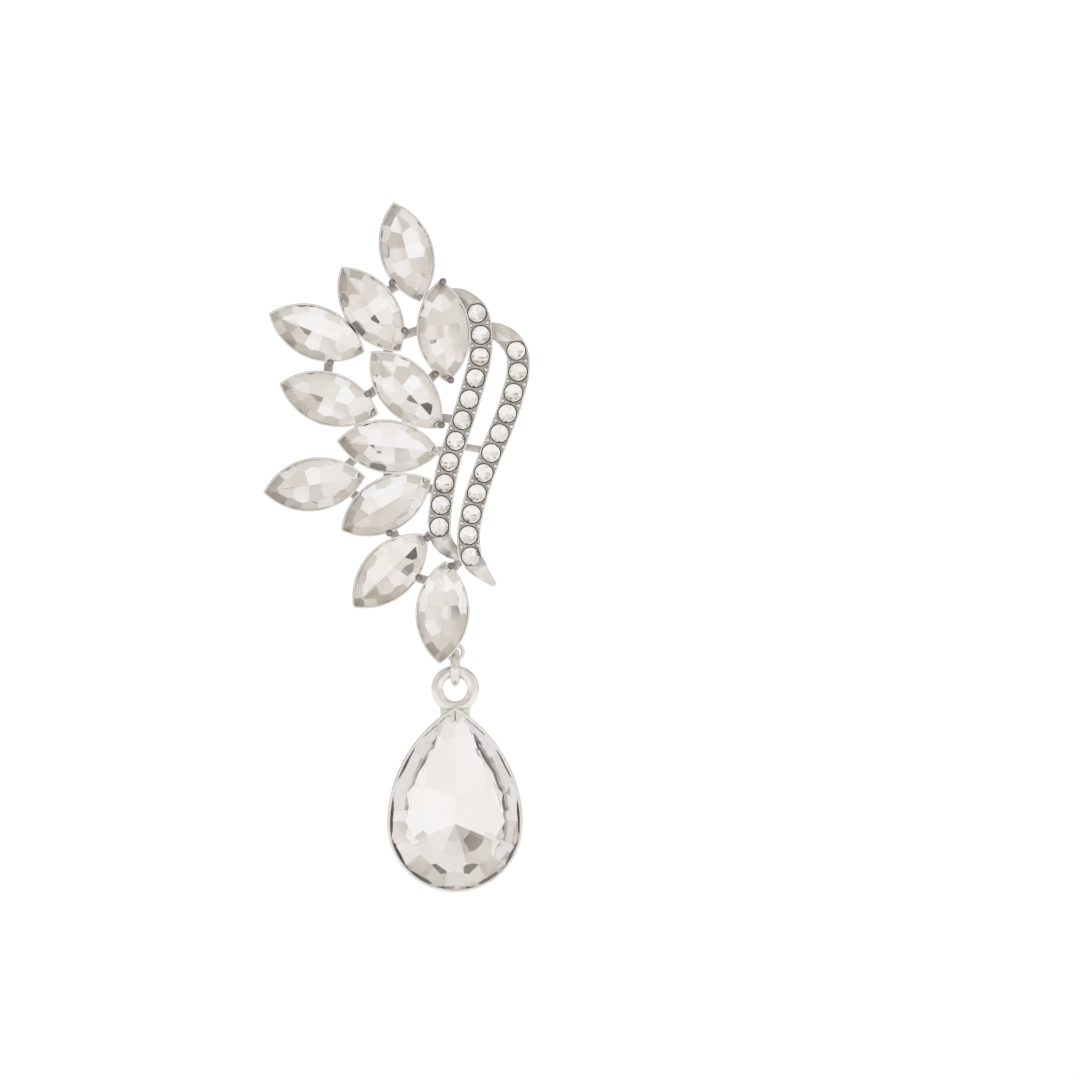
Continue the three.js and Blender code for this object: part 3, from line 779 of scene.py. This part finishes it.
def ringPiece(name, middle, radius, wire, depth, upright, segments=72):  # a round link
    bpy.ops.mesh.primitive_torus_add(
        major_radius=radius, minor_radius=wire, major_segments=segments, minor_segments=24)
    piece = namePiece(name)
    startEdit(piece)
    bpy.ops.transform.resize(value=(1, 1, depth), center_override=(0, 0, 0))
    if upright:
        bpy.ops.transform.rotate(value=math.pi / 2, orient_axis="Y", center_override=(0, 0, 0))
    closeSkin()
    endEdit()
    setDown(piece, middle)
    smoothShade(piece, 80)
    return piece


link = {"wire": 0.45, "eyeWire": 0.2, "eyeRadius": 0.8, "ringHole": 2.4, "ringBand": 1.2, "ringThickness": 0.9}
jumpLow, jumpHigh = nodeEnds("jump_ring")
jumpMiddle = (jumpLow + jumpHigh) / 2
jumpRadius = (jumpHigh.y - jumpLow.y) / 2 - link["wire"]
jumpRing = ringPiece("jumpRing", jumpMiddle, jumpRadius, link["wire"], 1.0, True)
jumpRing.data.materials.append(metal)
standUp(jumpRing, "link", metalSlot, "jump_ring")

eyePivot = jumpHigh.y - 2 * link["wire"] - 0.1 - link["eyeWire"]
eyeMiddle = Vector((jumpMiddle.x, eyePivot + link["eyeRadius"], jumpMiddle.z))
eye = ringPiece("eye", eyeMiddle, link["eyeRadius"], link["eyeWire"], 1.0, False, 48)
stemStart = alongPiece(11, -0.2)
toward = Vector((stemStart.x - eyeMiddle.x, stemStart.y - eyeMiddle.y, 0)).normalized()
stem = strut("stem", stemStart, eyeMiddle + toward * link["eyeRadius"], 0.9, 2 * link["eyeWire"],
             jumpMiddle.z - link["eyeWire"])
eye = joinPieces([eye, stem], "hangerEye")
eye.data.materials.append(metal)
standUp(eye, "wing", metalSlot, "wing_frame")

ringTop = nodeEnds("drop_setting")[1].y
ringRadius = (link["ringHole"] + link["ringBand"]) / 2
ringMiddle = Vector((jumpMiddle.x, ringTop - ringRadius - link["ringBand"] / 2, jumpMiddle.z))
dropRing = ringPiece("dropRing", ringMiddle, ringRadius, link["ringBand"] / 2,
                     link["ringThickness"] / link["ringBand"], False, 96)
neckTop = ringMiddle - Vector((0, ringRadius, 0))
pearTip = Vector((ringMiddle.x, pearHigh.y - 1.6, 0))
neck = strut("neck", neckTop, pearTip, 3.0, 0.6, ringMiddle.z - 0.3, 0.2)
cupSpace = pearFace("cupSpace", pearCup["wall"] - 0.1)
bpy.ops.transform.translate(value=(0, 0, -2))
growUp(4)
closeSkin()
endEdit()
setDown(cupSpace, pearPlace)
clearing = neck.modifiers.new("clearing", "BOOLEAN")
clearing.operation = "DIFFERENCE"
clearing.object = cupSpace
clearing.solver = "EXACT"
chooseOnly(neck)
bpy.ops.object.modifier_apply(modifier=clearing.name)
bpy.data.objects.remove(cupSpace)
dropRing = joinPieces([dropRing, neck], "dropRing")
dropRing.data.materials.append(metal)
standUp(dropRing, "drop", metalSlot, "drop_setting")
print("links made")

post = {"radius": 0.4, "length": 11.0, "start": 0.05, "padRadius": 1.5, "padThickness": 0.4, "groove": 8.6}
bpy.ops.mesh.primitive_cylinder_add(
    vertices=40, radius=post["radius"], depth=post["length"] - post["start"],
    location=(0, 0, -(post["length"] + post["start"]) / 2))
stem = namePiece("postStem")
startEdit(stem)
for low, high in ((post["groove"], post["groove"] + 0.25),):
    for level in (low, high):
        bpy.ops.mesh.select_all(action="SELECT")
        bpy.ops.mesh.bisect(plane_co=(0, 0, -level), plane_no=(0, 0, 1), threshold=1e-5)
endEdit()
softenEdges(stem, 0.15, segments=3)
bpy.ops.mesh.primitive_cylinder_add(
    vertices=64, radius=post["padRadius"], depth=post["padThickness"],
    location=(0, 0, -post["start"] - post["padThickness"] / 2))
pad = namePiece("postPad")
softenEdges(pad, 0.08)
earPost = joinPieces([stem, pad], "earPost")
earPost.data.materials.append(metal)
smoothShade(earPost)
standUp(earPost, "wing", metalSlot, "ear_post")
print("ear post made")


# ---------- the studio


studio = {"floorLevel": -0.075, "floorRadius": 4.0, "light": 1.1, "tentRadius": 1.2}
world = bpy.data.worlds.new("studioAir")
bpy.context.scene.world = world
world.use_nodes = True
world.node_tree.nodes["Background"].inputs["Color"].default_value = (1, 1, 1, 1)
world.node_tree.nodes["Background"].inputs["Strength"].default_value = studio["light"]
bpy.context.scene.view_settings.view_transform = "Standard"

bpy.ops.mesh.primitive_circle_add(
    vertices=128, radius=studio["floorRadius"], fill_type="NGON", location=(0, 0, studio["floorLevel"]))
floor = namePiece("paleFloor")
material, nodes, links = newMaterial("palePaper")
nodes["Principled BSDF"].inputs["Roughness"].default_value = 0.9
where = addNode(nodes, "ShaderNodeTexCoord")
clouds = addNode(nodes, "ShaderNodeTexNoise", Scale=30.0, Detail=3.0)
tone = rampNode(nodes, [(0.3, (0.93, 0.93, 0.93)), (0.7, (0.96, 0.96, 0.96))])
links.new(where.outputs["Object"], clouds.inputs["Vector"])
links.new(clouds.outputs["Fac"], tone.inputs["Fac"])
links.new(tone.outputs["Color"], nodes["Principled BSDF"].inputs["Base Color"])
floor.data.materials.append(material)

# The light tent shows in the polished pieces alone: bright cloth with greyer panels.
bpy.ops.mesh.primitive_uv_sphere_add(segments=64, ring_count=32, radius=studio["tentRadius"])
tent = namePiece("lightTent")
material, nodes, links = newMaterial("tentCloth")
nodes.remove(nodes["Principled BSDF"])
glow = addNode(nodes, "ShaderNodeEmission", Strength=1.0)
where = addNode(nodes, "ShaderNodeTexCoord")
patches = addNode(nodes, "ShaderNodeTexNoise", Scale=1.6, Detail=1.5, Roughness=0.6)
panels = rampNode(nodes, [
    (0.36, (0.60, 0.56, 0.50)),
    (0.44, (0.78, 0.74, 0.69)),
    (0.53, (0.93, 0.91, 0.885)),
    (0.66, (1.06, 1.04, 1.06)),
])
links.new(where.outputs["Object"], patches.inputs["Vector"])
links.new(patches.outputs["Fac"], panels.inputs["Fac"])
slots = addNode(nodes, "ShaderNodeTexNoise", noise_dimensions="4D", Scale=6.0, Detail=0.0, W=1.3)
gaps = rampNode(nodes, [(0.3, (0.12, 0.11, 0.10)), (0.315, (1, 1, 1))])
shade = addNode(nodes, "ShaderNodeVectorMath", operation="MULTIPLY")
links.new(where.outputs["Object"], slots.inputs["Vector"])
links.new(slots.outputs["Fac"], gaps.inputs["Fac"])
links.new(panels.outputs["Color"], shade.inputs[0])
links.new(gaps.outputs["Color"], shade.inputs[1])
links.new(shade.outputs["Vector"], glow.inputs["Color"])
links.new(glow.outputs["Emission"], nodes["Material Output"].inputs["Surface"])
tent.data.materials.append(material)
tent.visible_camera = False
tent.visible_diffuse = False
tent.visible_shadow = False

shot = {"across": 0.00965, "up": -0.02085, "plane": -0.0022, "distance": 0.54, "lens": 180}
lens = bpy.data.cameras.new("camera")
lens.lens = shot["lens"]
lens.sensor_width = 36
lens.clip_start = 0.01
lens.clip_end = 20
camera = bpy.data.objects.new("camera", lens)
bpy.context.scene.collection.objects.link(camera)
camera.location = (shot["across"], shot["plane"] - shot["distance"], shot["up"])
camera.rotation_euler = (math.pi / 2, 0, 0)
bpy.context.scene.camera = camera
print("studio ready")
